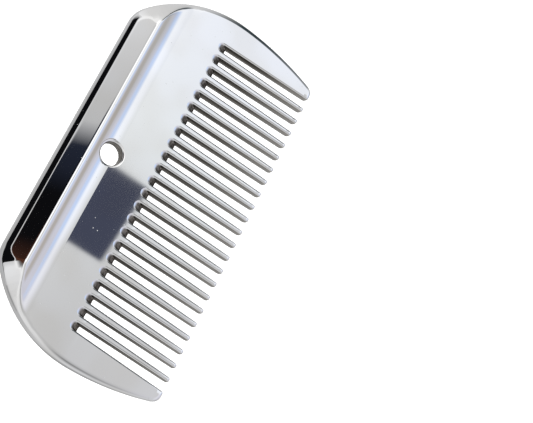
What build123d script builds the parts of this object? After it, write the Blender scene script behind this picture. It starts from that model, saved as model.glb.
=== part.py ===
"""Metal grooming comb: one polished casting, modelled region by region.

Frame: X runs along the comb, +Z points from the teeth to the spine, the front face looks to -Y.
The origin is on the axis of the hanging hole, in the middle of the comb's thickness.
Every region of the casting is a solid of its own that meets its neighbours face to face.
"""

from build123d import *
import os
from math import atan, cos, radians, sin

# ---- driving dimensions, mm ----------------------------------------------------------------
comb_length = 101.6  # widest point to widest point, a nominal four inches
spine_top_z = 12.2  # top edge above the axis of the hanging hole
tooth_length = 26.9  # from the middle of the slot roots to the tips

# Outline
shoulder_fillet = 8.0
widest_below_root = 2.1  # the comb is widest a little below the slot roots
side_radius_upper = 33.5  # arc from the widest level up to the shoulder

# Spine and web, as half thicknesses about the mid plane
top_edge_half = 1.5
crest_half = 4.3
crest_below_top = 6.4
crest_fillet = 0.5
web_half = 1.7
web_start_below_top = 13.0  # where the hollow under the crest runs out into the flat web
tip_half = 1.3

# Edge all round the outline: a flat rim, then a slope
rim_half = 1.0
rim_slope_angle = 33.7  # lean of the slope in from the outline, degrees

# Hanging hole
hole_diameter = 5.8
hole_rim_flare = 0.7
hole_rim_depth = 0.7

# Teeth and slots
slot_count = 23
guard_tooth_width = 8.555  # each end tooth at its root, from the last slot out to the outline
guard_tip_width = 3.17  # the same at its tip, before the tip is rounded
fan_angle = 2.8  # lean of the outermost slots away from the middle, degrees
slot_root_z = -13.9  # top of each slot at the mid plane, below the hole's axis
slot_ramp = 2.5  # the slot's top climbs by this much from the mid plane to the web faces
slot_root_width = 1.55  # at the mid plane
slot_tip_width = 2.3  # at the mid plane, level with the tips
slot_draft = 0.3  # each slot wall opens by this much from the mid plane to the web faces
tooth_tip_fillet = 0.45  # or as much as the tooth's width leaves room for
guard_tip_outer_fillet = 2.4
guard_tip_inner_fillet = 1.0

# Where the casting is divided into named regions
hole_land = 1.5  # metal left between the hole and the split under the spine
root_land = 1.7  # the split across the teeth lies this far below the slot roots

# Cutting shapes run past what they cut by this much, and the edge slope past the crest
cut_margin = 1.0
slope_margin = 0.3

# ---- levels that follow from them ----------------------------------------------------------
tooth_tip_z = slot_root_z - tooth_length
widest_z = slot_root_z - widest_below_root
crest_z = spine_top_z - crest_below_top
web_start_z = spine_top_z - web_start_below_top
rim_slope_rise = crest_half - rim_half + slope_margin
slots_span = comb_length - 2 * guard_tooth_width - slot_root_width
slot_pitch = slots_span / (slot_count - 1)
fan_step = 2 * fan_angle / (slot_count - 1)
last_wall_tip_x = slots_span / 2 + tooth_length * sin(radians(fan_angle)) + slot_tip_width / 2
spine_split_z = hole_diameter / 2 + hole_land
tooth_split_z = slot_root_z - root_land


def arc_radius(run, rise):
    """Radius of an arc that starts square to rise and bends by it over run."""
    return (run**2 + rise**2) / (2 * rise)


# The flatter side arc, from the widest level down to where the guard tips leave the outline
side_radius_lower = arc_radius(widest_z - tooth_tip_z, comb_length / 2 - last_wall_tip_x - guard_tip_width)


def side_x(z):
    """Half length of the outline at height z, on its two side arcs."""
    radius = side_radius_upper if z > widest_z else side_radius_lower
    return comb_length / 2 - radius + (radius**2 - (z - widest_z) ** 2) ** 0.5


def outline():
    """The D-shaped outline of the comb, a face in the XZ plane."""
    top_corner = (side_x(spine_top_z), spine_top_z)
    widest = (comb_length / 2, widest_z)
    tip_corner = (side_x(tooth_tip_z), tooth_tip_z)
    upper_mid_z = (spine_top_z + widest_z) / 2
    lower_mid_z = (tooth_tip_z + widest_z) / 2
    with BuildSketch(Plane.XZ) as sketch:
        with BuildLine():
            Line((0, spine_top_z), top_corner)
            ThreePointArc(top_corner, (side_x(upper_mid_z), upper_mid_z), widest)
            ThreePointArc(widest, (side_x(lower_mid_z), lower_mid_z), tip_corner)
            Polyline(tip_corner, (0, tooth_tip_z), (0, spine_top_z))
        make_face()
        mirror(about=Plane.YZ)
        for level, radius in ((-1, shoulder_fillet), (0, guard_tip_outer_fillet)):
            corners = sketch.vertices().group_by(Axis.Y)[level].sort_by(Axis.X)
            fillet([corners[0], corners[-1]], radius)
    return sketch.sketch


def section():
    """The cross-section of spine, web and teeth, a face in the YZ plane."""
    rise = crest_half - web_half
    run = crest_z - web_start_z
    hollow_radius = arc_radius(run, rise)
    half_turn = atan(rise / run)
    hollow_middle = (
        web_half + hollow_radius * (1 - cos(half_turn)),
        web_start_z + hollow_radius * sin(half_turn),
    )
    with BuildSketch(Plane.YZ) as sketch:
        with BuildLine():
            Polyline((0, spine_top_z), (top_edge_half, spine_top_z), (crest_half, crest_z))
            ThreePointArc((crest_half, crest_z), hollow_middle, (web_half, web_start_z))
            Polyline(
                (web_half, web_start_z),
                (web_half, slot_root_z),
                (tip_half, tooth_tip_z),
                (0, tooth_tip_z),
                (0, spine_top_z),
            )
        make_face()
        fillet(sketch.vertices().sort_by(Axis.X)[-1], crest_fillet)
        mirror(about=Plane.YZ)
    return sketch.sketch


def blank():
    """The casting before its hole and slots: the section run along X, trimmed to the outline."""
    bar = extrude(section(), amount=comb_length, both=True)
    plan = outline()
    disc = extrude(plan, amount=rim_half, both=True)
    for side in (-1, 1):
        rim = plan.moved(Location((0, side * rim_half, 0)))
        disc += extrude(rim, amount=rim_slope_rise, dir=(0, side, 0), taper=rim_slope_angle)
    return bar & disc


def hole_cutter():
    """The hanging hole with its flared rims: a turned shape about the Y axis."""
    bore_radius = hole_diameter / 2
    rim_radius = bore_radius + hole_rim_flare
    bore_half = web_half - hole_rim_depth
    reach = crest_half + cut_margin
    with BuildSketch(Plane.XY) as sketch:
        with BuildLine():
            Polyline(
                (0, 0),
                (bore_radius, 0),
                (bore_radius, bore_half),
                (rim_radius, web_half),
                (rim_radius, reach),
                (0, reach),
                (0, 0),
            )
        make_face()
        mirror(about=Plane.XZ)
    return revolve(sketch.sketch, axis=Axis.Y)


def slot_section(share):
    """A slot's outline in XZ, its root at the origin: share is 0 at the mid plane, 1 at a web face."""
    root_half = slot_root_width / 2 + share * slot_draft
    tip_half_width = slot_tip_width / 2 + share * slot_draft
    top = share * slot_ramp
    spring = top - root_half
    bottom = -tooth_length - cut_margin
    with BuildSketch(Plane.XZ.offset(share * web_half)) as sketch:
        with BuildLine():
            ThreePointArc((-root_half, spring), (0, top), (root_half, spring))
            Polyline(
                (root_half, spring), (tip_half_width, bottom), (-tip_half_width, bottom), (-root_half, spring)
            )
        make_face()
    return sketch.sketch


def slot_cutter():
    """One slot, drafted both ways from the mid plane and ramped at its root."""
    reach = 1 + cut_margin / web_half
    front = loft([slot_section(0), slot_section(reach)], ruled=True)
    return front + mirror(front, about=Plane.XZ)


def slot_places():
    """Where each slot goes: evenly pitched roots, fanned out by the same step each."""
    middle = (slot_count - 1) / 2
    for index in range(slot_count):
        step = index - middle
        yield Location((step * slot_pitch, 0, slot_root_z), (0, -fan_step * step, 0))


def slab(low_z, high_z):
    """A box as wide and deep as the casting and more, between two levels."""
    size = comb_length + 2 * cut_margin
    box = Box(size, size, high_z - low_z, align=(Align.CENTER, Align.CENTER, Align.MIN))
    return box.moved(Location((0, 0, low_z)))


def tip_fillet_limit():
    """The largest fillet that a tooth's tip takes: just under half its narrowest width, on a face."""
    tip_pitch = slot_pitch + tooth_length * sin(radians(fan_step))
    face_width = tip_pitch - slot_tip_width - 2 * slot_draft * tip_half / web_half
    return 0.45 * face_width


def rounded_tip(tooth, left_radius, right_radius):
    """A tooth with the two corners of its tip rounded in the comb's plane."""
    for pick, radius in ((0, left_radius), (-1, right_radius)):
        if not radius:
            continue
        lowest = [
            edge
            for edge in tooth.edges()
            if all(abs(v.Z - tooth_tip_z) < 0.01 for v in edge.vertices())
            and abs(edge.tangent_at(0.5).Y) > 0.7
        ]
        corner = ShapeList(lowest).group_by(Axis.X, tol_digits=1)[pick]
        tooth = tooth.fillet(radius, corner)
    return tooth


def regions(casting):
    """The casting divided into named solids, from the spine down."""
    yield "spine", casting & slab(spine_split_z, spine_top_z + cut_margin)
    yield "web_plate", casting & slab(tooth_split_z, spine_split_z)
    teeth = (casting & slab(tooth_tip_z - cut_margin, tooth_split_z)).solids().sort_by(Axis.X)
    yield "end_tooth_left", rounded_tip(teeth[0], 0, guard_tip_inner_fillet)
    yield "end_tooth_right", rounded_tip(teeth[-1], guard_tip_inner_fillet, 0)
    tip_fillet = min(tooth_tip_fillet, tip_fillet_limit())
    for number, tooth in enumerate(teeth[1:-1], start=1):
        yield f"tooth_{number:02d}", rounded_tip(tooth, tip_fillet, tip_fillet)


casting = blank() - hole_cutter()
one_slot = slot_cutter()
casting -= [one_slot.moved(place) for place in slot_places()]

os.makedirs("parts", exist_ok=True)
for name, solid in regions(casting):
    solid.label = name
    export_step(solid, f"parts/{name}.step")
    print(f"{name}: {len(solid.solids())} solid, {solid.volume:.1f} mm3")
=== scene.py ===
"""Looks of a one-piece metal grooming comb, polished all over.

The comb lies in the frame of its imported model: X runs along it, +Z points from the teeth to the
spine, and the front face looks to -Y. Its hanging hole is on the Y axis. Lengths are in metres.
"""

import logging
import math
from collections.abc import Callable, Iterator, Mapping
from dataclasses import dataclass, field
from enum import Enum

import bpy
from mathutils import Matrix, Vector

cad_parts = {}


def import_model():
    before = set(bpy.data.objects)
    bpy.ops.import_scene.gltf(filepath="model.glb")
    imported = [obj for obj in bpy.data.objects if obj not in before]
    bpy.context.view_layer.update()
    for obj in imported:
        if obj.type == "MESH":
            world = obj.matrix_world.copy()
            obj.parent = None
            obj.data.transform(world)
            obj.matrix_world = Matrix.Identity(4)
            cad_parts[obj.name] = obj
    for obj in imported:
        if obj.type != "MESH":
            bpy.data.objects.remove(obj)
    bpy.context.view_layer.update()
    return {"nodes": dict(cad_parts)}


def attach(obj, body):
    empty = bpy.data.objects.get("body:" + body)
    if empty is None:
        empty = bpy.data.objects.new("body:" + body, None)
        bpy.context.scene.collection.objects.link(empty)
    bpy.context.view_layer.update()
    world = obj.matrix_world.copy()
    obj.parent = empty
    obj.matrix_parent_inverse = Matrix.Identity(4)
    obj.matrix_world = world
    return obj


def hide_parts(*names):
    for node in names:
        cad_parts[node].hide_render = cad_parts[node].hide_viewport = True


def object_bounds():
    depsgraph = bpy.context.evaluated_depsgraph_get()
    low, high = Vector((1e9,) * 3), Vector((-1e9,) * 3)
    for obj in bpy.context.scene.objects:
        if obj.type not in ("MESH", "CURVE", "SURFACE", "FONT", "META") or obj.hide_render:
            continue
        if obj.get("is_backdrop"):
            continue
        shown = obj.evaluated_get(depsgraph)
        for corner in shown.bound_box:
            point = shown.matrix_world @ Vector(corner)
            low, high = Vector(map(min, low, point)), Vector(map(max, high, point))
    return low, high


MM = 0.001
WELD_GAP = 0.0001 * MM  # points this close become one where a shape is closed
CLEAN_GAP = 0.002 * MM  # and this close where the cut casting is cleaned
FULL_TURN = 360
log = logging.getLogger("grooming_comb")

Colour = tuple[float, float, float]
Socket = bpy.types.NodeSocket
Input = Socket | float | tuple[float, ...]


# ---- work in edit mode ---------------------------------------------------------------------


def clear_selection() -> None:
    """Leave edit mode and deselect every object."""
    if bpy.context.object and bpy.context.object.mode != "OBJECT":
        bpy.ops.object.mode_set(mode="OBJECT")
    bpy.ops.object.select_all(action="DESELECT")


def make_active(piece: bpy.types.Object) -> None:
    """Select one object alone and make it the active one.

    Args:
        piece: The object that the next operators act on.
    """
    clear_selection()
    piece.select_set(True)
    bpy.context.view_layer.objects.active = piece


def pick_edges(piece: bpy.types.Object, wanted: Callable[[Vector, Vector], bool]) -> None:
    """Open a mesh for editing with only some of its edges selected.

    Args:
        piece: The mesh object.
        wanted: Says of an edge's two end points whether the edge is picked.
    """
    make_active(piece)
    bpy.ops.object.mode_set(mode="EDIT")
    bpy.ops.mesh.select_mode(type="EDGE")
    bpy.ops.mesh.select_all(action="DESELECT")
    bpy.ops.object.mode_set(mode="OBJECT")
    mesh = piece.data
    for edge in mesh.edges:
        edge.select = wanted(*(mesh.vertices[index].co for index in edge.vertices))
    bpy.ops.object.mode_set(mode="EDIT")


def apply_modifier(piece: bpy.types.Object, kind: str, **settings: object) -> None:
    """Add a modifier to a piece, set it and apply it.

    Args:
        piece: The object that gets the modifier.
        kind: The modifier's type.
        **settings: Its properties.
    """
    make_active(piece)
    bpy.ops.object.modifier_add(type=kind)
    modifier = piece.modifiers[-1]
    for name, value in settings.items():
        setattr(modifier, name, value)
    bpy.ops.object.modifier_apply(modifier=modifier.name)


def cut_away(piece: bpy.types.Object, cutter: bpy.types.Object) -> None:
    """Cut a tool's shape out of a piece and remove the tool.

    Args:
        piece: The object that is cut.
        cutter: The closed mesh that cuts it.
    """
    apply_modifier(piece, "BOOLEAN", operation="DIFFERENCE", solver="EXACT", object=cutter)
    bpy.data.objects.remove(cutter)


def rolled_grid(name: str, columns: int, rows: int, place: Callable[[int, int], Vector]) -> bpy.types.Object:
    """Add a grid, roll it into a sleeve and close both of its ends.

    Args:
        name: The new object's name.
        columns: Cells around the sleeve, whose last column meets its first.
        rows: Cells along the sleeve.
        place: Gives the point of a column and a row.

    Returns:
        The closed mesh object.
    """
    clear_selection()
    bpy.ops.mesh.primitive_grid_add(x_subdivisions=columns, y_subdivisions=rows, size=2)
    sleeve = bpy.context.active_object
    sleeve.name = name
    for vertex in sleeve.data.vertices:
        column = round((vertex.co.x + 1) / 2 * columns)
        row = round((vertex.co.y + 1) / 2 * rows)
        vertex.co = place(column % columns, row)
    bpy.ops.object.mode_set(mode="EDIT")
    bpy.ops.mesh.select_all(action="SELECT")
    bpy.ops.mesh.remove_doubles(threshold=WELD_GAP)
    bpy.ops.mesh.fill_holes(sides=0)
    bpy.ops.mesh.select_all(action="SELECT")
    bpy.ops.mesh.normals_make_consistent(inside=False)
    bpy.ops.object.mode_set(mode="OBJECT")
    return sleeve


def smooth_lower(first: float, second: float, blend: float) -> float:
    """The lower of two heights, rounded where they cross.

    Args:
        first: One height.
        second: The other height.
        blend: How far apart they are where the rounding starts.

    Returns:
        The rounded lower height.
    """
    share = min(1.0, max(0.0, 0.5 + 0.5 * (second - first) / blend))
    return second * (1 - share) + first * share - blend * share * (1 - share)


def eased(value: float, start: float, end: float) -> float:
    """Share of the way from start to end, from 0 to 1, with a soft start and stop.

    Args:
        value: Where between the two.
        start: Where the share is 0.
        end: Where the share is 1.

    Returns:
        The share.
    """
    share = min(1.0, max(0.0, (value - start) / (end - start)))
    return share * share * (3 - 2 * share)


def arc_radius(run: float, rise: float) -> float:
    """Radius of an arc that starts square to rise and bends by it over run."""
    return (run**2 + rise**2) / (2 * rise)


# ---- the casting's shape -------------------------------------------------------------------


@dataclass
class Levels:
    """The comb's overall levels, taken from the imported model's box."""

    half_length: float
    top: float
    tip: float

    @classmethod
    def from_frame(cls) -> "Levels":
        """Read the levels from the model's box."""
        low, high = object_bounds()
        return cls(half_length=(high[0] - low[0]) / 2, top=high[2], tip=low[2])


@dataclass
class EdgeArc:
    """One arc of the outline, as seen from the front, for the right half."""

    centre_x: float
    centre_z: float
    radius: float
    start: float
    end: float
    cells: int

    def points(self) -> Iterator[tuple[Vector, Vector]]:
        """Walk along the arc and leave out its last point.

        Yields:
            Each point, with the outward direction there.
        """
        for step in range(self.cells):
            turn = self.start + (self.end - self.start) * step / self.cells
            out = Vector((math.cos(turn), 0, math.sin(turn)))
            yield Vector((self.centre_x, 0, self.centre_z)) + out * self.radius, out


@dataclass
class Outline:
    """The D-shaped outline: straight top, round shoulders, bowed sides, blade-like end teeth."""

    levels: Levels
    widest: float = -16.0 * MM
    shoulder_fillet: float = 8.0 * MM
    side_radius_upper: float = 33.5 * MM
    side_radius_lower: float = 85.0 * MM
    tip_fillet: float = 2.4 * MM
    shoulder_cells: int = 22
    upper_cells: int = 18
    lower_cells: int = 14
    tip_cells: int = 12

    def fillet_turn(self, radius: float, fillet: float, level: float) -> tuple[float, float]:
        """Where a corner fillet meets a side arc.

        Args:
            radius: Radius of the side arc, whose centre is on the widest level.
            fillet: Radius of the corner's fillet.
            level: Height of the straight edge that the fillet also touches.

        Returns:
            The fillet centre's distance from the arc's centre along X, and the angle of the meeting
            point on the side arc.
        """
        inward = -1 if level > self.widest else 1
        rise = level + inward * fillet - self.widest
        run = math.sqrt((radius - fillet) ** 2 - rise**2)
        return run, math.atan2(rise, run)

    def right_half(self) -> list[tuple[Vector, Vector]]:
        """Follow the right half from the top edge round to the tip edge.

        Returns:
            Each point, with the outward direction there.
        """
        length, top, tip = self.levels.half_length, self.levels.top, self.levels.tip
        upper_x = length - self.side_radius_upper
        lower_x = length - self.side_radius_lower
        run_up, turn_up = self.fillet_turn(self.side_radius_upper, self.shoulder_fillet, top)
        run_down, turn_down = self.fillet_turn(self.side_radius_lower, self.tip_fillet, tip)
        quarter = math.pi / 2
        shoulder_z, tip_z = top - self.shoulder_fillet, tip + self.tip_fillet
        arcs = (
            EdgeArc(
                upper_x + run_up, shoulder_z, self.shoulder_fillet, quarter, turn_up, self.shoulder_cells
            ),
            EdgeArc(upper_x, self.widest, self.side_radius_upper, turn_up, 0, self.upper_cells),
            EdgeArc(lower_x, self.widest, self.side_radius_lower, 0, turn_down, self.lower_cells),
            EdgeArc(lower_x + run_down, tip_z, self.tip_fillet, turn_down, -quarter, self.tip_cells),
        )
        points = [pair for arc in arcs for pair in arc.points()]
        points.append((Vector((lower_x + run_down, 0, tip)), Vector((0, 0, -1))))
        return points

    def all_round(self) -> list[tuple[Vector, Vector]]:
        """Follow the outline all the way round, clockwise from the top edge.

        Returns:
            Each point, with the outward direction there.
        """
        right = self.right_half()
        mirror = Matrix.Scale(-1, 3, (1, 0, 0))
        return right + [(mirror @ point, mirror @ out) for point, out in reversed(right)]


@dataclass
class Section:
    """Half thickness of the casting at each height, before its edges are rounded."""

    levels: Levels
    top_edge: float = 1.35 * MM
    crest: float = 4.55 * MM  # where facet and hollow would meet if they weren't blended
    crest_below_top: float = 6.4 * MM
    crest_blend: float = 1.6 * MM
    web: float = 1.7 * MM
    web_start_below_top: float = 13.0 * MM
    slot_root: float = -13.9 * MM
    root_cut: float = 0.6 * MM
    tip: float = 1.3 * MM
    fine_step: float = 0.16 * MM
    fine_cells: int = 7
    hollow_step: float = 0.4 * MM

    def __post_init__(self) -> None:
        """Work out the levels that follow from the section's sizes."""
        self.crest_level = self.levels.top - self.crest_below_top
        self.web_level = self.levels.top - self.web_start_below_top
        self.hollow_radius = arc_radius(self.crest_level - self.web_level, self.crest - self.web)

    def half_thickness(self, level: float) -> float:
        """Half thickness at a height.

        Args:
            level: The height, above the hole's axis.

        Returns:
            The distance from the mid plane to a face.
        """
        facet_slope = (self.crest - self.top_edge) / self.crest_below_top
        facet = self.crest - facet_slope * (level - self.crest_level)
        if level < self.web_level:
            taper = (self.web - self.tip) / (self.slot_root - self.levels.tip)
            below_root = (self.slot_root - level) * taper
            return self.web - max(0.0, below_root)
        rise = min(level - self.web_level, self.hollow_radius)
        hollow = self.web + self.hollow_radius - math.sqrt(self.hollow_radius**2 - rise**2)
        return smooth_lower(facet, hollow, self.crest_blend)

    def cut_levels(self) -> list[float]:
        """Choose where the faces are divided, close together where the section bends.

        Returns:
            The heights of the cuts.
        """
        near_crest = range(-self.fine_cells, self.fine_cells + 1)
        fine = [self.crest_level + self.fine_step * step for step in near_crest]
        count = round((fine[0] - self.web_level) / self.hollow_step)
        pitch = (fine[0] - self.web_level) / count
        hollow = [self.web_level + pitch * step for step in range(count)]
        root = [self.slot_root + self.root_cut, self.slot_root - self.root_cut]
        return root + hollow + fine


@dataclass
class EdgeBand:
    """The rounded band that runs round the whole outline and up the casting's slopes."""

    rim: float = 0.55 * MM
    nose_radius: float = 1.0 * MM
    slope: float = 0.75
    nose_cells: int = 6
    slope_cells: int = 16
    web_blend: float = 0.6 * MM
    spine_blend: float = 0.12 * MM
    spine_reach: float = 5.3 * MM
    web_reach: float = 1.9 * MM
    reach_change: float = 2.5 * MM  # the reach changes over this much above and below the web's top
    crisp_from: float = 0.7 * MM  # above the crest, where the blend starts to tighten
    crisp_by: float = 3.2 * MM  # and where it is tightest

    def __post_init__(self) -> None:
        """Work out where the nose's arc runs into the slope."""
        self.nose_turn = math.atan(1 / self.slope)
        self.nose_depth = self.nose_radius * (1 - math.cos(self.nose_turn))
        self.nose_height = self.rim + self.nose_radius * math.sin(self.nose_turn)

    @property
    def rings(self) -> int:
        """Cells from the mid plane to the innermost ring of one face."""
        return 1 + self.nose_cells + self.slope_cells

    def profile(self, ring: int, reach: float) -> tuple[float, float]:
        """Depth and height of one ring of the band.

        Args:
            ring: 0 at the mid plane, rings at the innermost one.
            reach: How far in from the outline the innermost ring lies.

        Returns:
            Its distance in from the outline, and its height above the mid plane.
        """
        if ring == 0:
            return 0.0, 0.0
        nose_step = ring - 1
        if nose_step <= self.nose_cells:
            turn = self.nose_turn * nose_step / self.nose_cells
            return self.nose_radius * (1 - math.cos(turn)), self.rim + self.nose_radius * math.sin(turn)
        share = (nose_step - self.nose_cells) / self.slope_cells
        depth = self.nose_depth + (reach - self.nose_depth) * share
        return depth, self.nose_height + self.slope * (depth - self.nose_depth)


@dataclass
class HangingHole:
    """The round hole under the crest, with a softly flared rim on each face."""

    section: Section
    radius: float = 2.9 * MM
    bore_share: float = 0.6  # where the straight bore is divided
    flare: float = 0.7 * MM
    flare_depth: float = 0.62 * MM
    flare_turn: float = math.radians(80)
    overrun: float = 0.04 * MM  # the flare's last loop stands this far off the web
    reach: float = 5.5 * MM
    columns: int = 112
    flare_cells: int = 7
    step_edge: float = 0.22 * MM
    step_cells: int = 3
    step_floor: float = 0.12 * MM  # the step starts this far above the web
    rim_tolerance: float = 0.02 * MM
    shortest_run: float = 0.001 * MM

    @property
    def rim(self) -> float:
        """Radius of the flared rim."""
        return self.radius + self.flare

    def stations(self) -> list[tuple[float, float]]:
        """Place the cutter's loops, from the mid plane out to the front.

        Returns:
            Each loop's radius and height.
        """
        web = self.section.web
        start = web - self.flare_depth
        loops = [(self.radius, 0.0), (self.radius, start * self.bore_share)]
        for step in range(self.flare_cells + 1):
            turn = self.flare_turn * step / self.flare_cells
            radius = self.radius + self.flare * (1 - math.cos(turn))
            loops.append((radius, start + self.flare_depth * math.sin(turn)))
        loops += [(self.rim, web + self.overrun), (self.rim, self.reach)]
        return loops

    def cutter(self) -> bpy.types.Object:
        """Make the turned shape that cuts the hole.

        Returns:
            The closed mesh object.
        """
        front = self.stations()
        loops = [(radius, -height) for radius, height in reversed(front)] + front[1:]

        def place(column: int, row: int) -> Vector:
            """Find a point of a loop, turned about the Y axis.

            Args:
                column: Which point of the loop.
                row: Which loop, from the back to the front.

            Returns:
                The point.
            """
            radius, height = loops[row]
            turn = 2 * math.pi * column / self.columns
            return Vector((radius * math.cos(turn), -height, radius * math.sin(turn)))

        return rolled_grid("hole_cutter", self.columns, len(loops) - 1, place)

    def on_step(self, first: Vector, second: Vector) -> bool:
        """Whether an edge lies on the rim's cylinder and follows the hollow's surface.

        Args:
            first: One end of the edge.
            second: Its other end.

        Returns:
            True where the rim steps down from the hollow.
        """
        off_axis = [math.hypot(end.x, end.z) for end in (first, second)]
        on_rim = all(abs(radius - self.rim) < self.rim_tolerance for radius in off_axis)
        above = min(abs(first.y), abs(second.y)) > self.section.web + self.step_floor
        run = abs(first.x - second.x) + abs(first.z - second.z)
        return on_rim and above and run > self.shortest_run

    def soften_step(self, casting: bpy.types.Object) -> None:
        """Round the edge where the hole's rim steps down from the hollow.

        Args:
            casting: The casting, with its hole cut.
        """
        pick_edges(casting, self.on_step)
        bpy.ops.mesh.bevel(offset=self.step_edge, segments=self.step_cells, clamp_overlap=False)
        bpy.ops.object.mode_set(mode="OBJECT")


@dataclass
class Slots:
    """The row of slots between the teeth: drafted, fanned out, with a ramp at each root."""

    section: Section
    count: int = 23
    end_tooth_width: float = 8.555 * MM
    fan: float = math.radians(2.8)
    ramp: float = 2.5 * MM
    root_width: float = 1.55 * MM
    tip_width: float = 2.3 * MM
    draft: float = 0.3 * MM
    rim_fillet: float = 0.44 * MM
    rim_turn: float = math.radians(78)
    tip_fillet: float = 0.55 * MM
    tip_run: float = 1.3  # the tip's rounding takes this many times its fillet along the tooth
    face_tip_fillet: float = 0.3 * MM
    margin: float = 1.0 * MM
    ridge_soft: float = 0.12
    squareness: float = 2.6  # of the root's arch at the mid plane
    outer_shares: tuple[float, float] = (1.012, 1.5)  # just past a face, and clear of it
    outer_widen: float = 0.05 * MM
    arch_cells: int = 16
    leg_cells: int = 5
    tip_cells: int = 5
    rim_cells: int = 5
    wall_stations: tuple[float, ...] = (0.0, 0.07, 0.16, 0.3, 0.48, 0.66)

    def softened(self, share: float) -> float:
        """Share of the draft at a share of the half thickness, rounded over the mid plane."""
        soft = self.ridge_soft
        return (math.hypot(share, soft) - soft) / (math.hypot(1, soft) - soft)

    def stations(self) -> list[tuple[float, float]]:
        """Place the cutter's loops, from the mid plane out past the face.

        Returns:
            Each loop's share of the half thickness, and how far the rim's fillet widens it.
        """
        web = self.section.web
        start = 1 - self.rim_fillet / web
        loops = [(share, 0.0) for share in self.wall_stations]
        for step in range(self.rim_cells + 1):
            turn = self.rim_turn * step / self.rim_cells
            share = start + self.rim_fillet / web * math.sin(turn)
            loops.append((share, self.rim_fillet * (1 - math.cos(turn))))
        widest = loops[-1][1] + self.outer_widen
        loops += [(share, widest) for share in self.outer_shares]
        return loops

    def loop(self, share: float, widen: float) -> list[tuple[float, float]]:
        """The slot's outline at one depth, its root at the origin.

        Args:
            share: Share of the half thickness, 0 at the mid plane and 1 at a face.
            widen: How far the rim's fillet pushes the outline out.

        Returns:
            X and Z of each point, from the left leg's foot over the arch to the right leg's foot.
        """
        drafted = self.softened(min(share, 1.0))
        root_half = self.root_width / 2 + drafted * self.draft + widen
        tip_half = self.tip_width / 2 + drafted * self.draft + widen
        top = drafted * self.ramp + widen
        length = self.section.slot_root - self.section.levels.tip
        spring = top - root_half
        quarter_cells = self.arch_cells // 2
        power = 2 / (2 + self.squareness * (1 - drafted))  # 1 gives a round arch, less a squarer one
        right = []
        for step in range(quarter_cells + 1):
            turn = math.pi / 2 * step / quarter_cells
            across = math.sin(turn) ** power if step else 0.0
            up = math.cos(turn) ** power if step < quarter_cells else 0.0
            right.append((root_half * across, spring + root_half * up))
        flare = self.tip_fillet + (self.face_tip_fillet - self.tip_fillet) * drafted
        flare_top = -length + self.tip_fillet * self.tip_run
        for step in range(1, self.leg_cells + 1):
            down = step / self.leg_cells
            level = spring + (flare_top - spring) * down
            right.append((self.half_width(level, spring, length, root_half, tip_half), level))
        for step in range(1, self.tip_cells + 1):
            turn = math.pi / 2 * step / self.tip_cells
            level = flare_top + (-length - flare_top) * math.sin(turn)
            half = self.half_width(level, spring, length, root_half, tip_half)
            right.append((half + flare * (1 - math.cos(turn)), level))
        right.append((right[-1][0], -length - self.margin))
        left = [(-x, z) for x, z in reversed(right[1:])]
        return left + right

    @staticmethod
    def half_width(level: float, spring: float, length: float, root_half: float, tip_half: float) -> float:
        """Half the slot's width at a level on its straight legs."""
        return root_half + (tip_half - root_half) * (spring - level) / (spring + length)

    def cutter(self) -> bpy.types.Object:
        """Make the shape that cuts one slot, its root at the origin.

        Returns:
            The closed mesh object.
        """
        front = self.stations()
        loops = [(share, self.loop(share, widen), -1) for share, widen in reversed(front)]
        loops += [(share, self.loop(share, widen), 1) for share, widen in front[1:]]

        def place(column: int, row: int) -> Vector:
            """Find a point of a loop at its depth, which follows the taper of the teeth.

            Args:
                column: Which point of the loop.
                row: Which loop, from the back to the front.

            Returns:
                The point.
            """
            share, points, side = loops[row]
            x, z = points[column]
            level = min(z + self.section.slot_root, self.section.web_level)
            outermost = row in (0, len(loops) - 1)
            half = self.section.web if outermost else self.section.half_thickness(level)
            return Vector((x, -side * share * half, z))

        return rolled_grid("slot_cutter", len(loops[0][1]), len(loops) - 1, place)

    def cutters(self) -> bpy.types.Object:
        """Copy the slot's cutter to every slot and join the copies.

        Returns:
            One mesh object with all the closed shapes.
        """
        first = self.cutter()
        half_span = self.section.levels.half_length - self.end_tooth_width - self.root_width / 2
        middle = (self.count - 1) / 2
        copies = []
        for index in range(self.count):
            step = (index - middle) / middle
            make_active(first)
            bpy.ops.object.duplicate(linked=False)
            copy = bpy.context.active_object
            lean = Matrix.Rotation(-self.fan * step, 4, "Y")
            copy.matrix_world = Matrix.Translation((half_span * step, 0, self.section.slot_root)) @ lean
            bpy.ops.object.transform_apply(location=True, rotation=True, scale=True)
            copies.append(copy)
        bpy.data.objects.remove(first)
        clear_selection()
        for copy in copies:
            copy.select_set(True)
        bpy.context.view_layer.objects.active = copies[0]
        bpy.ops.object.join()
        return bpy.context.active_object


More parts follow.
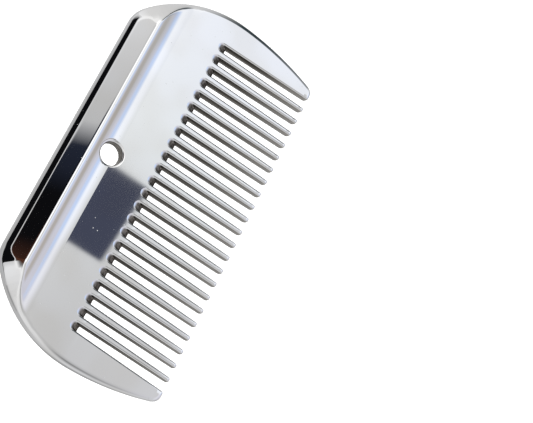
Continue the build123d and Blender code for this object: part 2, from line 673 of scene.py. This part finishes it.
@dataclass
class CombCasting:
    """The comb itself: spine, web and teeth in one seamless metal body."""

    levels: Levels
    body: str = "root"
    slot_name: str = "polished_metal"
    smooth_angle: float = math.radians(32)
    flat_area: float = 60 * MM**2

    def __post_init__(self) -> None:
        """Set up the parts of the shape, which share the comb's levels."""
        self.outline = Outline(self.levels)
        self.section = Section(self.levels)
        self.band = EdgeBand()
        self.hole = HangingHole(self.section)
        self.slots = Slots(self.section)

    def reach(self, level: float) -> float:
        """How far in the edge band's innermost ring lies: further at the spine.

        Args:
            level: A height of the outline.

        Returns:
            The distance in from the outline.
        """
        web, change = self.section.web_level, self.band.reach_change
        thick = eased(level, web - change, web + change)
        return self.band.web_reach + (self.band.spine_reach - self.band.web_reach) * thick

    def blend(self, level: float) -> float:
        """How softly the edge band runs into the faces: crisply at the spine's facets.

        Args:
            level: A height of the casting.

        Returns:
            The blend between the band and the face.
        """
        crest = self.section.crest_level
        near_top = eased(level, crest + self.band.crisp_from, crest + self.band.crisp_by)
        return self.band.web_blend + (self.band.spine_blend - self.band.web_blend) * near_top

    def blank(self) -> bpy.types.Object:
        """Make the casting with no hole or slots: the edge band, then the faces pressed to the section.

        Returns:
            The blank.
        """
        edge = self.outline.all_round()
        rings = self.band.rings

        def place(column: int, row: int) -> Vector:
            """Find a point of the edge band.

            Args:
                column: Which point of the outline.
                row: Which ring, from the front's innermost to the back's.

            Returns:
                The point.
            """
            point, out = edge[column]
            depth, height = self.band.profile(abs(row - rings), self.reach(point.z))
            side = 1 if row > rings else -1
            return point - out * depth + Vector((0, side * height, 0))

        blank = rolled_grid("comb_casting", len(edge), 2 * rings, place)
        for level in self.section.cut_levels():
            make_active(blank)
            bpy.ops.object.mode_set(mode="EDIT")
            bpy.ops.mesh.select_all(action="SELECT")
            bpy.ops.mesh.bisect(plane_co=(0, 0, level), plane_no=(0, 0, 1))
        bpy.ops.object.mode_set(mode="OBJECT")
        for vertex in blank.data.vertices:
            half = self.section.half_thickness(vertex.co.z)
            blend = self.blend(vertex.co.z)
            pressed = smooth_lower(abs(vertex.co.y), half, blend) if vertex.co.y else 0.0
            vertex.co.y = math.copysign(pressed, vertex.co.y)
        return blank

    def finish_mesh(self, casting: bpy.types.Object) -> None:
        """Clean the cut mesh and set its normals, true to the flat faces.

        Args:
            casting: The casting, with its hole and slots cut.
        """
        make_active(casting)
        bpy.ops.object.mode_set(mode="EDIT")
        bpy.ops.mesh.select_all(action="SELECT")
        bpy.ops.mesh.remove_doubles(threshold=CLEAN_GAP)
        bpy.ops.mesh.dissolve_degenerate(threshold=CLEAN_GAP)
        bpy.ops.mesh.select_all(action="SELECT")
        bpy.ops.mesh.normals_make_consistent(inside=False)
        bpy.ops.object.mode_set(mode="OBJECT")
        bpy.ops.object.shade_smooth_by_angle(angle=self.smooth_angle)
        apply_modifier(casting, "WEIGHTED_NORMAL", mode="FACE_AREA", weight=50, keep_sharp=True)
        self.true_flats(casting.data)

    def true_flats(self, mesh: bpy.types.Mesh) -> None:
        """Give the corners round each large flat face exactly its normal, so that it mirrors true.

        Args:
            mesh: The casting's mesh, with its normals set.
        """
        flat = {}
        for face in sorted(mesh.polygons, key=lambda face: face.area):
            if face.area > self.flat_area:
                flat.update(dict.fromkeys(face.vertices, face.normal.copy()))
        normals = [corner.vector.copy() for corner in mesh.corner_normals]
        for loop in mesh.loops:
            normal = flat.get(loop.vertex_index)
            if normal and normals[loop.index].angle(normal) < self.smooth_angle / 2:
                normals[loop.index] = normal
        mesh.normals_split_custom_set(normals)

    def build(self, finish: "PolishedMetal") -> bpy.types.Object:
        """Make, dress and place the casting.

        Args:
            finish: The metal finish that covers it.

        Returns:
            The finished piece.
        """
        casting = self.blank()
        cut_away(casting, self.hole.cutter())
        self.hole.soften_step(casting)
        cut_away(casting, self.slots.cutters())
        self.finish_mesh(casting)
        casting.data.materials.clear()
        casting.data.materials.append(finish.build())
        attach(casting, self.body)
        return casting


# ---- surface effects shared by finishes ----------------------------------------------------


@dataclass
class NodeSheet:
    """A node tree that is being filled, with short ways to add and join its nodes."""

    tree: bpy.types.NodeTree

    def add(
        self, kind: str, inputs: dict[str | int, Input] | None = None, **settings: object
    ) -> bpy.types.Node:
        """Add a node.

        Args:
            kind: The node's type name.
            inputs: What goes into its inputs, by name or number: a value or another node's output.
            **settings: The node's own properties.

        Returns:
            The new node.
        """
        node = self.tree.nodes.new(kind)
        for name, value in settings.items():
            setattr(node, name, value)
        for key, value in (inputs or {}).items():
            self.feed(node.inputs[key], value)
        return node

    def feed(self, socket: Socket, value: Input) -> None:
        """Set an input, or link it to another node's output.

        Args:
            socket: The input.
            value: What goes into it.
        """
        if isinstance(value, Socket):
            self.tree.links.new(value, socket)
        else:
            socket.default_value = value

    def maths(self, operation: str, *values: Input, clamp: bool = False) -> Socket:
        """Add a Math node.

        Args:
            operation: What it does.
            *values: What goes into it, in order.
            clamp: Whether the result is held between 0 and 1.

        Returns:
            The result.
        """
        inputs = dict(enumerate(values))
        return self.add("ShaderNodeMath", inputs, operation=operation, use_clamp=clamp).outputs[0]

    def mixed(self, share: Input, first: Input, second: Input) -> Socket:
        """Mix two colours.

        Args:
            share: How much of the second colour there is, from 0 to 1.
            first: The colour at 0.
            second: The colour at 1.

        Returns:
            The mixed colour.
        """
        node = self.add("ShaderNodeMix", data_type="RGBA")
        colours = [socket for socket in node.inputs if socket.type == "RGBA"]
        for socket, value in zip((node.inputs[0], *colours), (share, first, second)):
            self.feed(socket, value)
        return next(socket for socket in node.outputs if socket.type == "RGBA")

    def mapped(
        self, value: Input, low: float, high: float, to_low: float = 0.0, to_high: float = 1.0
    ) -> Socket:
        """Map a value smoothly from one range to another.

        Args:
            value: The value.
            low: Where the new value is to_low.
            high: Where it is to_high.
            to_low: The new value at low and beyond.
            to_high: The new value at high and beyond.

        Returns:
            The new value.
        """
        inputs = {0: value, 1: low, 2: high, 3: to_low, 4: to_high}
        return self.add("ShaderNodeMapRange", inputs, interpolation_type="SMOOTHSTEP").outputs[0]

    def facing(self) -> Mapping[str, Socket]:
        """The X, Y and Z of the surface's direction on the piece."""
        direction = self.add("ShaderNodeTexCoord").outputs["Normal"]
        return self.add("ShaderNodeSeparateXYZ", {0: direction}).outputs


class Effect(Enum):
    """The surface effects, each a node group built once."""

    POLISH_LINES = "polish_lines"
    CAST_WAVES = "cast_waves"
    DUST = "dust_specks"
    EDGE_RUB = "edge_rub"
    SLOT_WALLS = "slot_walls"


def new_group(effect: Effect, inputs: dict[str, float], outputs: tuple[str, ...]) -> NodeSheet:
    """Start a node group with named value inputs and outputs.

    Args:
        effect: Which effect it is.
        inputs: The name and starting value of each input.
        outputs: The name of each output.

    Returns:
        The group's sheet, with its input and output nodes in place.
    """
    group = bpy.data.node_groups.new(effect.value, "ShaderNodeTree")
    for name, value in inputs.items():
        socket = group.interface.new_socket(name=name, in_out="INPUT", socket_type="NodeSocketFloat")
        socket.default_value = value
    for name in outputs:
        group.interface.new_socket(name=name, in_out="OUTPUT", socket_type="NodeSocketFloat")
    return NodeSheet(group)


# Each pair is where a mask starts and where it is full
NOISE_SPREAD = (0.38, 0.66)
BROKEN_SPREAD = (0.35, 0.65)
CURVED = (0.995, 0.97)  # how squarely a surface faces the front or back, off the flats
WALL = (0.62, 0.36)  # the same, on a slot's walls
RAMP = (-0.3, -0.5)  # how far up a surface faces: downwards, on the ramp of a slot's root
SHADE_FADE_LEVELS = (-18.0 * MM, -44.0 * MM)  # the height, where the slots' painted shade fades to a lighter tone towards the tips

BUFFING_LEANS = (1.0, -0.35)  # the two directions of the buffing lines, as shares of their lean
WALL_STREAKS = (900.0, 2600.0, 60.0)  # how fine the streaks in the slots' painted shade are along X, Y and Z


def polish_lines() -> bpy.types.NodeTree:
    """Build the fine lines that a buffing wheel leaves, in two directions.

    Returns:
        The node group.
    """
    sheet = new_group(Effect.POLISH_LINES, {"Along": 60.0, "Across": 5200.0, "Lean": 0.5}, ("Height",))
    given = sheet.add("NodeGroupInput").outputs
    place = sheet.add("ShaderNodeTexCoord").outputs["Object"]
    sizes = {"X": given["Along"], "Y": given["Across"], "Z": given["Across"]}
    heights = []
    for share in BUFFING_LEANS:
        lean = sheet.maths("MULTIPLY", given["Lean"], share)
        turn = sheet.add("ShaderNodeCombineXYZ", {"Y": lean})
        scale = sheet.add("ShaderNodeCombineXYZ", sizes)
        inputs = {"Vector": place, "Rotation": turn.outputs[0], "Scale": scale.outputs[0]}
        mapping = sheet.add("ShaderNodeMapping", inputs)
        noise = sheet.add("ShaderNodeTexNoise", {"Vector": mapping.outputs[0], "Scale": 1.0, "Detail": 2.0})
        heights.append(noise.outputs["Fac"])
    both = sheet.maths("ADD", *heights)
    sheet.add("NodeGroupOutput", {"Height": sheet.maths("MULTIPLY", both, 0.5)})
    return sheet.tree


def cast_waves() -> bpy.types.NodeTree:
    """Build the long soft waves of a hand-buffed casting.

    Returns:
        The node group.
    """
    sheet = new_group(Effect.CAST_WAVES, {"Scale": 90.0, "Detail": 1.0}, ("Height", "Mask"))
    given = sheet.add("NodeGroupInput").outputs
    place = sheet.add("ShaderNodeTexCoord").outputs["Object"]
    inputs = {"Vector": place, "Scale": given["Scale"], "Detail": given["Detail"], "Roughness": 0.4}
    noise = sheet.add("ShaderNodeTexNoise", inputs).outputs["Fac"]
    sheet.add("NodeGroupOutput", {"Height": noise, "Mask": sheet.mapped(noise, *NOISE_SPREAD)})
    return sheet.tree


def dust_specks() -> bpy.types.NodeTree:
    """Build small pits and dust specks, scattered unevenly.

    Returns:
        The node group.
    """
    sheet = new_group(Effect.DUST, {"Scale": 900.0, "Size": 0.16, "Share": 0.24}, ("Mask",))
    given = sheet.add("NodeGroupInput").outputs
    place = sheet.add("ShaderNodeTexCoord").outputs["Object"]
    cells = sheet.add("ShaderNodeTexVoronoi", {"Vector": place, "Scale": given["Scale"]})
    near = sheet.maths("LESS_THAN", cells.outputs["Distance"], given["Size"])
    pick = sheet.add("ShaderNodeSeparateColor", {"Color": cells.outputs["Color"]}).outputs[0]
    chosen = sheet.maths("LESS_THAN", pick, given["Share"])
    sheet.add("NodeGroupOutput", {"Mask": sheet.maths("MULTIPLY", near, chosen)})
    return sheet.tree


def edge_rub() -> bpy.types.NodeTree:
    """Build the rub of hands and hair on the proud edges, broken up by noise.

    Returns:
        The node group.
    """
    sheet = new_group(Effect.EDGE_RUB, {"Start": 0.52, "End": 0.62, "Scale": 700.0}, ("Mask",))
    given = sheet.add("NodeGroupInput").outputs
    place = sheet.add("ShaderNodeTexCoord").outputs["Object"]
    proud = sheet.add("ShaderNodeNewGeometry").outputs["Pointiness"]
    inputs = {0: proud, 1: given["Start"], 2: given["End"]}
    edge = sheet.add("ShaderNodeMapRange", inputs).outputs[0]
    noise = sheet.add("ShaderNodeTexNoise", {"Vector": place, "Scale": given["Scale"], "Detail": 3.0})
    broken = sheet.mapped(noise.outputs["Fac"], *BROKEN_SPREAD)
    curved = sheet.mapped(sheet.maths("ABSOLUTE", sheet.facing()["Y"]), *CURVED)
    edge = sheet.maths("MULTIPLY", edge, curved)
    sheet.add("NodeGroupOutput", {"Mask": sheet.maths("MULTIPLY", edge, broken)})
    return sheet.tree


def slot_walls() -> bpy.types.NodeTree:
    """Build the bore, the slots' walls and the ramps at their roots: rougher where a buffing wheel can't
    reach, and darkened with painted shade.

    Returns:
        The node group: where the metal is rougher and carries the painted shade, the streaks in that shade,
            and how far it fades to a lighter tone towards the tips.
    """
    limits = {"Reach": 44.6 * MM, "Top": -10.5 * MM, "Root": -15.5 * MM, "Bore": 3.0 * MM}
    sheet = new_group(Effect.SLOT_WALLS, limits, ("Mask", "Streaks", "ShadeFade"))
    given = sheet.add("NodeGroupInput").outputs
    place = sheet.add("ShaderNodeTexCoord").outputs["Object"]
    across = sheet.add("ShaderNodeSeparateXYZ", {0: place}).outputs
    facing = sheet.facing()
    sideways = sheet.mapped(sheet.maths("ABSOLUTE", facing["Y"]), *WALL)
    roots = sheet.maths("GREATER_THAN", across["Z"], given["Root"])
    # The ramps at the slots' roots get the painted shade as well.
    ramps = sheet.maths("MULTIPLY", sheet.mapped(facing["Z"], *RAMP), roots)
    recessed = sheet.maths("MAXIMUM", sideways, ramps)
    within = sheet.maths("LESS_THAN", sheet.maths("ABSOLUTE", across["X"]), given["Reach"])
    below = sheet.maths("LESS_THAN", across["Z"], given["Top"])
    between = sheet.maths("MULTIPLY", within, below)
    off_axis = sheet.add("ShaderNodeCombineXYZ", {"X": across["X"], "Y": across["Z"]}).outputs[0]
    off_axis = sheet.add("ShaderNodeVectorMath", {0: off_axis}, operation="LENGTH").outputs["Value"]
    # The hanging hole's bore gets the painted shade as well.
    in_bore = sheet.maths("LESS_THAN", off_axis, given["Bore"])
    mask = sheet.maths("MULTIPLY", recessed, sheet.maths("MAXIMUM", between, in_bore))
    scale = sheet.add("ShaderNodeMapping", {"Vector": place, "Scale": WALL_STREAKS})
    noise = sheet.add("ShaderNodeTexNoise", {"Vector": scale.outputs[0], "Scale": 1.0, "Detail": 3.0})
    streaks = sheet.mapped(noise.outputs["Fac"], *NOISE_SPREAD)
    # The painted shade fades to a lighter tone from the roots towards the tips.
    shade_fade = sheet.mapped(across["Z"], *SHADE_FADE_LEVELS)
    sheet.add("NodeGroupOutput", {"Mask": mask, "Streaks": streaks, "ShadeFade": shade_fade})
    return sheet.tree


MAKERS: dict[Effect, Callable[[], bpy.types.NodeTree]] = {
    Effect.POLISH_LINES: polish_lines,
    Effect.CAST_WAVES: cast_waves,
    Effect.DUST: dust_specks,
    Effect.EDGE_RUB: edge_rub,
    Effect.SLOT_WALLS: slot_walls,
}


def effect_node(sheet: NodeSheet, effect: Effect, **values: float) -> bpy.types.Node:
    """Place an effect's group in a material, building the group the first time.

    Args:
        sheet: The material's sheet.
        effect: Which effect.
        **values: The group's inputs, by name.

    Returns:
        The group node.
    """
    group = bpy.data.node_groups.get(effect.value) or MAKERS[effect]()
    return sheet.add("ShaderNodeGroup", dict(values), node_tree=group)


# ---- finishes ------------------------------------------------------------------------------


def new_material(name: str) -> tuple[bpy.types.Material, NodeSheet]:
    """Start an empty material.

    Args:
        name: Its name.

    Returns:
        The material and its sheet.
    """
    material = bpy.data.materials.new(name)
    material.use_nodes = True
    material.node_tree.nodes.clear()
    return material, NodeSheet(material.node_tree)


@dataclass(frozen=True)
class PolishedMetal:
    """Cast aluminium buffed to a mirror, with faint buffing lines, soft waves and a few specks, and painted
    shade in the slots, on their roots' ramps and in the bore.
    """

    name: str = "polished_metal"
    clean: Colour = (0.90, 0.905, 0.92)
    warm: Colour = (0.86, 0.855, 0.85)
    speck: Colour = (0.82, 0.82, 0.82)
    # Painted shade for the slots' walls, their roots' ramps and the bore: dark, with lighter streaks, fading
    # to a lighter tone towards the tips.
    painted_wall_shade: Colour = (0.15, 0.138, 0.120)
    painted_wall_streak: Colour = (0.36, 0.34, 0.31)
    painted_wall_fade: Colour = (0.62, 0.60, 0.57)
    roughness: float = 0.012
    rough_patch: float = 0.012
    line_roughness: float = 0.016
    edge_roughness: float = 0.04
    wall_roughness: float = 0.32
    speck_roughness: float = 0.3
    wave_depth: float = 0.0012 * MM
    line_depth: float = 0.00004 * MM
    slots_reach: float = 44.6 * MM  # the slots lie within this much of the comb's middle
    slots_top: float = -10.5 * MM
    ramps_foot: float = -15.5 * MM  # above this level the slots' roots slope up to the faces
    bore_reach: float = 3.15 * MM

    def build(self) -> bpy.types.Material:
        """Make the material.

        Returns:
            The polished metal.
        """
        material, sheet = new_material(self.name)
        waves = effect_node(sheet, Effect.CAST_WAVES, Scale=85.0, Detail=1.0).outputs
        lines = effect_node(sheet, Effect.POLISH_LINES, Along=70.0, Across=4200.0, Lean=0.4).outputs
        dust = effect_node(sheet, Effect.DUST, Scale=800.0, Size=0.11, Share=0.14).outputs
        rub = effect_node(sheet, Effect.EDGE_RUB, Start=0.53, End=0.68, Scale=650.0).outputs
        limits = {"Reach": self.slots_reach, "Top": self.slots_top}
        limits |= {"Root": self.ramps_foot, "Bore": self.bore_reach}
        # Mask of the slots' walls, ramps and bore: rougher metal, and painted shade in its colour.
        unbuffed_and_shade = effect_node(sheet, Effect.SLOT_WALLS, **limits).outputs
        tone = sheet.mixed(waves["Mask"], (*self.clean, 1), (*self.warm, 1))
        tone = sheet.mixed(dust["Mask"], tone, (*self.speck, 1))
        # Painted shade: the slots' walls, ramps and bore take a dark brown-grey, streaked and fading to a
        # lighter tone towards the tips.
        painted_shade = sheet.mixed(unbuffed_and_shade["Streaks"], (*self.painted_wall_shade, 1), (*self.painted_wall_streak, 1))
        painted_shade = sheet.mixed(unbuffed_and_shade["ShadeFade"], painted_shade, (*self.painted_wall_fade, 1))
        tone = sheet.mixed(unbuffed_and_shade["Mask"], tone, painted_shade)
        rough = self.roughness
        for mask, amount in (
            (waves["Mask"], self.rough_patch),
            (lines["Height"], self.line_roughness),
            (rub["Mask"], self.edge_roughness),
            (unbuffed_and_shade["Mask"], self.wall_roughness),
            (dust["Mask"], self.speck_roughness),
        ):
            rough = sheet.maths("MULTIPLY_ADD", mask, amount, rough, clamp=True)
        inputs = {"Height": waves["Height"], "Distance": self.wave_depth, "Strength": 1.0}
        bent = sheet.add("ShaderNodeBump", inputs).outputs[0]
        inputs = {"Height": lines["Height"], "Distance": self.line_depth, "Strength": 1.0, "Normal": bent}
        bent = sheet.add("ShaderNodeBump", inputs).outputs[0]
        inputs = {"Base Color": tone, "Metallic": 1.0, "Roughness": rough, "Normal": bent}
        surface = sheet.add("ShaderNodeBsdfPrincipled", inputs)
        sheet.add("ShaderNodeOutputMaterial", {"Surface": surface.outputs[0]})
        return material


@dataclass(frozen=True)
class StudioPaper:
    """Plain matt white paper for the floor, very faintly mottled."""

    name: str = "studio_paper"
    tone: Colour = (0.93, 0.93, 0.93)
    grain_scale: float = 4.0
    grain_spread: tuple[float, float] = (0.3, 0.7)
    darkest: float = 0.985

    def build(self) -> bpy.types.Material:
        """Make the material.

        Returns:
            The paper.
        """
        material, sheet = new_material(self.name)
        place = sheet.add("ShaderNodeTexCoord").outputs["Object"]
        inputs = {"Vector": place, "Scale": self.grain_scale, "Detail": 4.0}
        grain = sheet.add("ShaderNodeTexNoise", inputs).outputs["Fac"]
        value = sheet.mapped(grain, *self.grain_spread, self.darkest, 1.0)
        inputs = {"Value": value, "Color": (*self.tone, 1)}
        tone = sheet.add("ShaderNodeHueSaturation", inputs).outputs[0]
        surface = sheet.add("ShaderNodeBsdfDiffuse", {"Color": tone})
        sheet.add("ShaderNodeOutputMaterial", {"Surface": surface.outputs[0]})
        return material


# ---- studio --------------------------------------------------------------------------------


@dataclass(frozen=True)
class ToneRing:
    """The tones all round the comb at one elevation.

    Attributes:
        elevation: Degrees above the horizon.
        tones: Pairs of a heading in degrees, 0 in front and 90 to the right, and a colour.
    """

    elevation: float
    tones: tuple[tuple[float, Colour], ...]

    def ramp(self, sheet: NodeSheet, turn: Socket) -> Socket:
        """Add the ring's tones to the world.

        Args:
            sheet: The world's sheet.
            turn: The heading as a share of a full turn, 0.5 in front.

        Returns:
            The tone at each heading.
        """
        node = sheet.add("ShaderNodeValToRGB", {"Fac": turn})
        stops = node.color_ramp.elements
        while len(stops) < len(self.tones):
            stops.new(0.5)
        for stop, (heading, colour) in zip(stops, self.tones):
            stop.position = heading / FULL_TURN + 0.5
            stop.color = (*colour, 1)
        return node.outputs[0]


def grey(value: float, blue: float = 0.0) -> Colour:
    """A grey, with some blue added."""
    return (value * (1 - blue), value * (1 - blue / 3), value)


DARK = (0.004, 0.004, 0.005)
BROWN = (0.075, 0.028, 0.016)
INK = (0.016, 0.020, 0.034)
CLAY = (0.46, 0.43, 0.40)
TAN = (0.56, 0.53, 0.52)
LAVENDER = (0.66, 0.66, 0.74)
LILAC = (0.70, 0.70, 0.80)
BLUE = (0.60, 0.72, 0.97)
PEARL = (0.82, 0.82, 0.88)
SNOW = (0.91, 0.94, 1.0)
GLARE = (1.0, 1.03, 1.09)
BRIGHT = (1.3, 1.3, 1.3)
SHADE = grey(0.06, 0.4)

# Each set runs from behind the comb over its left, its front and its right to behind it again
UNDER_TONES = (
    (-180, TAN), (-90, grey(0.5)), (0, LAVENDER), (40, LAVENDER),
    (70, CLAY), (115, CLAY), (150, TAN), (180, TAN),
)
LOW_TONES = (
    (-180, grey(0.4)), (-60, grey(0.5)), (14, LAVENDER), (40, LAVENDER),
    (72, grey(0.5)), (115, grey(0.45)), (150, grey(0.4)), (180, grey(0.4)),
)
BLUE_TONES = (
    (-180, grey(0.4)), (-60, grey(0.5)), (16, LILAC), (23, BLUE), (40, BLUE),
    (72, grey(0.2)), (115, grey(0.3)), (150, grey(0.4)), (180, grey(0.4)),
)
GLARE_TONES = (
    (-180, grey(0.5)), (-60, grey(0.6)), (13, PEARL), (23, GLARE), (45, GLARE),
    (70, grey(0.4)), (110, grey(0.5)), (180, grey(0.5)),
)
WEB_TONES = (
    (-180, grey(0.4)), (-150, grey(0.3)), (-110, grey(0.5)), (-90, grey(0.66)), (-48, grey(0.66)),
    (-27, grey(0.22)), (-12, grey(0.5)), (12, grey(0.61)), (17, grey(0.70, 0.02)), (22, grey(0.90, 0.05)),
    (27, SNOW), (38, SNOW), (44, SHADE), (84, SHADE), (94, grey(0.62)), (110, grey(0.7)),
    (135, grey(0.8)), (155, grey(0.5)), (180, grey(0.4)),
)
LEVEL_TONES = (
    (-180, grey(0.45)), (-110, grey(0.6)), (-60, grey(0.66)), (-25, grey(0.8)), (0, grey(0.6)),
    (6, grey(0.7)), (12, BRIGHT), (38, BRIGHT), (55, grey(0.7)), (80, grey(0.6)),
    (135, grey(0.9)), (180, grey(0.45)),
)
CREST_TONES = (
    (-180, grey(0.45)), (-110, grey(0.5)), (-65, grey(0.5)), (-45, grey(0.9)), (-15, grey(1.0)),
    (8, BRIGHT), (38, BRIGHT), (60, grey(0.9)), (90, grey(0.7)), (140, grey(0.5)), (180, grey(0.45)),
)
FACET_TONES = (
    (-180, grey(0.45)), (-130, grey(0.45)), (-80, grey(0.3)), (-60, grey(0.55)), (-45, grey(0.8)),
    (-33, grey(0.95)), (-18, grey(0.25)), (0, BROWN), (16.2, BROWN), (17.8, DARK), (21.6, DARK),
    (22.8, INK), (24.0, INK), (24.5, grey(0.52)), (28, grey(0.6)), (31, grey(0.7)), (34, grey(1.0)),
    (60, grey(0.95)), (100, grey(0.6)), (180, grey(0.45)),
)
SILVER_TONES = ((-180, grey(0.45)), (-60, grey(0.6)), (0, grey(0.8)), (50, grey(0.7)), (180, grey(0.45)))
STRIPE_TONES = (
    (-180, grey(0.45)), (-75, grey(0.5)), (-50, DARK),
    (48, DARK), (65, grey(0.7)), (180, grey(0.45)),
)
CEILING_TONES = ((-180, grey(0.45)), (0, grey(0.5)), (180, grey(0.45)))

RINGS = (
    ToneRing(-82, ((-180, TAN), (180, TAN))),
    ToneRing(-70, UNDER_TONES),
    ToneRing(-60, LOW_TONES),
    ToneRing(-49, BLUE_TONES),
    ToneRing(-38, GLARE_TONES),
    ToneRing(-17, WEB_TONES),
    ToneRing(-1, LEVEL_TONES),
    ToneRing(24, CREST_TONES),
    ToneRing(29, FACET_TONES),
    ToneRing(39.5, FACET_TONES),
    ToneRing(41, SILVER_TONES),
    ToneRing(42, SILVER_TONES),
    ToneRing(43.5, STRIPE_TONES),
    ToneRing(60.5, STRIPE_TONES),
    ToneRing(64, CEILING_TONES),
)


@dataclass
class Studio:
    """White surroundings for the eye, and rings of pale and dark tones for the metal to mirror."""

    levels: Levels
    floor_drop: float = 0.22
    floor_size: float = 8.0
    sun_strength: float = 3.6
    sun_angle: float = math.radians(70)
    sun_turn: tuple[float, float, float] = (math.radians(-14), math.radians(10), 0.0)
    card_heading: float = 17.6  # in degrees, as the rings' headings and elevations
    card_elevation: float = -15.7
    card_half_width: float = 2.0
    card_half_height: float = 1.1
    card_softness: float = 0.12
    card_tone: Colour = (0.058, 0.065, 0.100)

    def surroundings(self) -> None:
        """Fill the world with the rings of tone, seen by the metal alone."""
        world = bpy.data.worlds.new("studio")
        bpy.context.scene.world = world
        world.use_nodes = True
        world.node_tree.nodes.clear()
        sheet = NodeSheet(world.node_tree)
        look = sheet.add("ShaderNodeTexCoord").outputs["Generated"]
        parts = sheet.add("ShaderNodeSeparateXYZ", {0: look}).outputs
        ahead = sheet.maths("MULTIPLY", parts["Y"], -1.0)
        degree = math.pi / 180
        heading = sheet.maths("DIVIDE", sheet.maths("ARCTAN2", parts["X"], ahead), degree)
        elevation = sheet.maths("DIVIDE", sheet.maths("ARCSINE", parts["Z"]), degree)
        turn = sheet.maths("MULTIPLY_ADD", heading, 1 / FULL_TURN, 0.5)
        tone = RINGS[0].ramp(sheet, turn)
        for lower, ring in zip(RINGS, RINGS[1:]):
            share = sheet.mapped(elevation, lower.elevation, ring.elevation)
            tone = sheet.mixed(share, tone, ring.ramp(sheet, turn))
        tone = self.with_card(sheet, tone, heading, elevation)
        metal_sees = sheet.add("ShaderNodeBackground", {"Color": tone, "Strength": 1.0}).outputs[0]
        eye_sees = sheet.add("ShaderNodeBackground", {"Color": (1, 1, 1, 1), "Strength": 1.0}).outputs[0]
        eye = sheet.add("ShaderNodeLightPath").outputs["Is Camera Ray"]
        both = sheet.add("ShaderNodeMixShader", {0: eye, 1: metal_sees, 2: eye_sees}).outputs[0]
        sheet.add("ShaderNodeOutputWorld", {"Surface": both})

    def with_card(self, sheet: NodeSheet, tone: Socket, heading: Socket, elevation: Socket) -> Socket:
        """Lay the small dark card in front of the comb over the tones.

        Args:
            sheet: The world's sheet.
            tone: The tones without the card.
            heading: The heading of each direction, in degrees.
            elevation: Its elevation, in degrees.

        Returns:
            The tones with the card.
        """
        shares = []
        for value, middle, half in (
            (heading, self.card_heading, self.card_half_width),
            (elevation, self.card_elevation, self.card_half_height),
        ):
            off = sheet.maths("ABSOLUTE", sheet.maths("SUBTRACT", value, middle))
            shares.append(sheet.mapped(off, half - self.card_softness, half + self.card_softness, 1.0, 0.0))
        return sheet.mixed(sheet.maths("MULTIPLY", *shares), tone, (*self.card_tone, 1))

    def floor(self) -> bpy.types.Object:
        """Lay a wide sheet of paper under the hanging comb.

        Returns:
            The floor.
        """
        clear_selection()
        level = self.levels.tip - self.floor_drop
        bpy.ops.mesh.primitive_plane_add(size=self.floor_size, location=(0, 0, level))
        floor = bpy.context.active_object
        floor.name = "studio_floor"
        bpy.ops.object.transform_apply(location=True, rotation=True, scale=True)
        floor.data.materials.append(StudioPaper().build())
        floor.visible_glossy = False
        floor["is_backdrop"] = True
        return floor

    def overhead_light(self) -> None:
        """Light the floor softly from above; the metal mirrors the surroundings instead."""
        lamp = bpy.data.lights.new("overhead", "SUN")
        lamp.energy = self.sun_strength
        lamp.angle = self.sun_angle
        light = bpy.data.objects.new("overhead", lamp)
        light.rotation_euler = self.sun_turn
        light.visible_glossy = False
        bpy.context.scene.collection.objects.link(light)

    def build(self) -> None:
        """Set up everything round the comb."""
        self.surroundings()
        self.floor()
        self.overhead_light()
        bpy.context.scene.view_settings.view_transform = "Standard"


@dataclass
class ViewCamera:
    """The camera: it looks at a point beyond the teeth, from the front left and above, rolled over."""

    aim: Vector = field(default_factory=lambda: Vector((11.188, 0, -44.643)) * MM)
    distance: float = 341.33 * MM
    azimuth: float = math.radians(-21.79)
    elevation: float = math.radians(21.64)
    roll: float = math.radians(55.53)
    lens: float = 87.8
    sensor: float = 36.0
    nearest: float = 0.01
    farthest: float = 100.0

    def build(self) -> bpy.types.Object:
        """Make the camera and hand it to the scene.

        Returns:
            The camera.
        """
        level = math.cos(self.elevation)
        back = Vector(
            (math.sin(self.azimuth) * level, -math.cos(self.azimuth) * level, math.sin(self.elevation))
        )
        right = Vector((0, 0, 1)).cross(back).normalized()
        up = back.cross(right)
        turn = Matrix.Rotation(-self.roll, 3, back)
        right, up = turn @ right, turn @ up
        lens = bpy.data.cameras.new("view_camera")
        lens.lens = self.lens
        lens.sensor_width = self.sensor
        lens.clip_start = self.nearest
        lens.clip_end = self.farthest
        camera = bpy.data.objects.new("view_camera", lens)
        axes = Matrix((right, up, back)).transposed().to_4x4()
        camera.matrix_world = Matrix.Translation(self.aim + back * self.distance) @ axes
        bpy.context.scene.collection.objects.link(camera)
        bpy.context.scene.camera = camera
        return camera


def main() -> None:
    """Build the comb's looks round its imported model."""
    logging.basicConfig(level=logging.INFO, format="%(name)s: %(message)s")
    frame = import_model()
    levels = Levels.from_frame()
    ViewCamera().build()
    Studio(levels).build()
    casting = CombCasting(levels).build(PolishedMetal())
    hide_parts(*frame["nodes"])
    triangles = sum(len(face.vertices) - 2 for face in casting.data.polygons)
    log.info("%s: %d faces, %d triangles", casting.name, len(casting.data.polygons), triangles)


if __name__ == "__main__":
    main()
